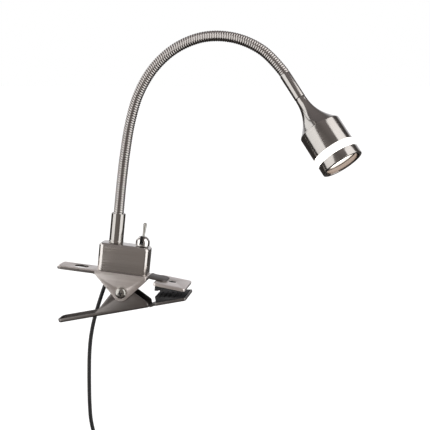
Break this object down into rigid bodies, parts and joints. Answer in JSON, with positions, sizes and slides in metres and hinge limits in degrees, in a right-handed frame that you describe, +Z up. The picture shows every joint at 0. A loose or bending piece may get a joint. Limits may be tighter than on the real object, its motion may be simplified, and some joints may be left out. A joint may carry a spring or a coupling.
{
  "type": "clip-on gooseneck reading lamp",
  "caption": "Clip-on reading lamp: a sprung clip with a toggle switch box carries a ribbed gooseneck and a small flared lamp head with a glowing ring.",
  "frame": {"origin": "middle of the upper jaw pad's gripping face, on the desk top", "axes": "+X from the handles out along the jaw, +Y to the side the cord leaves from, +Z up"},
  "size_m": [0.3322, 0.082, 0.4365],
  "materials": {
    "satin_nickel": "satin brushed nickel plate over pressed steel",
    "satin_nickel_alloy": "satin brushed nickel plate over turned aluminium",
    "gooseneck_nickel": "ribbed gooseneck, satin nickel plate",
    "bright_chrome": "polished chrome",
    "zinc_steel": "bright zinc-plated steel",
    "black_rubber": "matt black rubber",
    "black_plastic": "moulded black plastic",
    "cord_sheath": "smooth black sheath",
    "frosted_ring": "frosted translucent white, lit from inside",
    "lens_clear": "clear lens with a fine frost, lit from behind",
    "reflector_silver": "metallised reflector",
    "sink_aluminium": "plain aluminium",
    "board_white": "white solder mask",
    "led_phosphor": "yellow phosphor",
    "contact_brass": "plain brass"
  },
  "bodies": {
    "clip": {"upper_clip": "satin_nickel", "upper_jaw_plate": "satin_nickel", "upper_jaw_pad": "black_rubber", "pivot_screw": "bright_chrome", "pivot_nut": "zinc_steel", "torsion_spring": "zinc_steel", "switch_box": "satin_nickel", "box_screw_left": "zinc_steel", "box_screw_right": "zinc_steel", "strain_relief": "black_rubber", "toggle_body": "black_plastic", "toggle_terminal_1": "contact_brass", "toggle_terminal_2": "contact_brass", "toggle_terminal_3": "contact_brass", "toggle_dome": "bright_chrome", "lower_ferrule": "satin_nickel", "ferrule_nut": "zinc_steel", "neck_base": "gooseneck_nickel", "cord": "cord_sheath", "cord_coil": "cord_sheath", "plug_body": "black_plastic", "plug_blade_left": "contact_brass", "plug_blade_right": "contact_brass", "cord_tail": "cord_sheath", "cord_tie": "black_plastic"},
    "lower_jaw": {"lower_clip": "satin_nickel", "lower_jaw_plate": "satin_nickel", "lower_jaw_pad": "black_rubber"},
    "toggle": {"toggle_lever": "bright_chrome"},
    "neck_1": {"neck_link_1": "gooseneck_nickel"},
    "neck_2": {"neck_link_2": "gooseneck_nickel"},
    "neck_3": {"neck_link_3": "gooseneck_nickel"},
    "neck_4": {"neck_link_4": "gooseneck_nickel"},
    "neck_5": {"neck_link_5": "gooseneck_nickel"},
    "neck_6": {"neck_link_6": "gooseneck_nickel"},
    "neck_7": {"neck_link_7": "gooseneck_nickel"},
    "neck_8": {"neck_link_8": "gooseneck_nickel"},
    "neck_9": {"neck_link_9": "gooseneck_nickel"},
    "neck_10": {"neck_link_10": "gooseneck_nickel"},
    "head": {"neck_end": "gooseneck_nickel", "upper_ferrule": "satin_nickel_alloy", "head_nut": "zinc_steel", "head_shell": "satin_nickel_alloy", "heat_sink": "sink_aluminium", "led_board": "board_white", "led_screw_left": "zinc_steel", "led_screw_right": "zinc_steel", "led_chip": "led_phosphor", "diffuser_ring": "frosted_ring", "head_bezel": "satin_nickel_alloy", "reflector": "reflector_silver", "lens": "lens_clear", "lens_ring": "black_plastic"}
  },
  "joints": [
    {"name": "clip_pivot", "type": "hinge", "parent": "clip", "child": "lower_jaw", "pos_m": [-0.0505, 0, -0.0049], "axis": [0, 1, 0], "range_deg": [-4, 36], "stiffness_Nm_per_rad": 1.1, "springref_deg": -51.57, "deforming": ["torsion_spring"]},
    {"name": "toggle_throw", "type": "hinge", "parent": "clip", "child": "toggle", "pos_m": [-0.03015, 0, 0.04525], "axis": [0.9945, 0, -0.1045], "range_deg": [0, 24]},
    {"name": "neck_base_sway", "type": "hinge", "parent": "clip", "child": "neck_1", "pos_m": [-0.05391, 0, 0.07751], "axis": [0.9945, 0, -0.1045], "range_deg": [-25, 25]},
    {"name": "neck_bend_1", "type": "hinge", "parent": "neck_1", "child": "neck_2", "pos_m": [-0.05073, 0, 0.10653], "axis": [0, 1, 0], "range_deg": [-15, 12]},
    {"name": "neck_bend_2", "type": "hinge", "parent": "neck_2", "child": "neck_3", "pos_m": [-0.04679, 0, 0.13547], "axis": [0, 1, 0], "range_deg": [-15, 12]},
    {"name": "neck_bend_3", "type": "hinge", "parent": "neck_3", "child": "neck_4", "pos_m": [-0.04142, 0, 0.16416], "axis": [0, 1, 0], "range_deg": [-20, 10]},
    {"name": "neck_bend_4", "type": "hinge", "parent": "neck_4", "child": "neck_5", "pos_m": [-0.03255, 0, 0.19194], "axis": [0, 1, 0], "range_deg": [-25, 10]},
    {"name": "neck_middle_sway", "type": "hinge", "parent": "neck_5", "child": "neck_6", "pos_m": [-0.0172, 0, 0.21665], "axis": [0.7604, 0, -0.6494], "range_deg": [-25, 25]},
    {"name": "neck_bend_5", "type": "hinge", "parent": "neck_6", "child": "neck_7", "pos_m": [0.00491, 0, 0.23553], "axis": [0, 1, 0], "range_deg": [-32, 7]},
    {"name": "neck_bend_6", "type": "hinge", "parent": "neck_7", "child": "neck_8", "pos_m": [0.03212, 0, 0.2456], "axis": [0, 1, 0], "range_deg": [-34, 7]},
    {"name": "neck_bend_7", "type": "hinge", "parent": "neck_8", "child": "neck_9", "pos_m": [0.06111, 0, 0.24449], "axis": [0.0881, 0.9959, -0.0212], "range_deg": [-34, 7]},
    {"name": "neck_bend_8", "type": "hinge", "parent": "neck_9", "child": "neck_10", "pos_m": [0.08766, -0.00259, 0.23297], "axis": [0.1846, 0.9791, -0.085], "range_deg": [-30, 10]},
    {"name": "head_sway", "type": "hinge", "parent": "neck_10", "child": "head", "pos_m": [0.10808, -0.00817, 0.2131], "axis": [-0.8028, 0.1003, -0.5878], "range_deg": [-30, 30]}
  ]
}
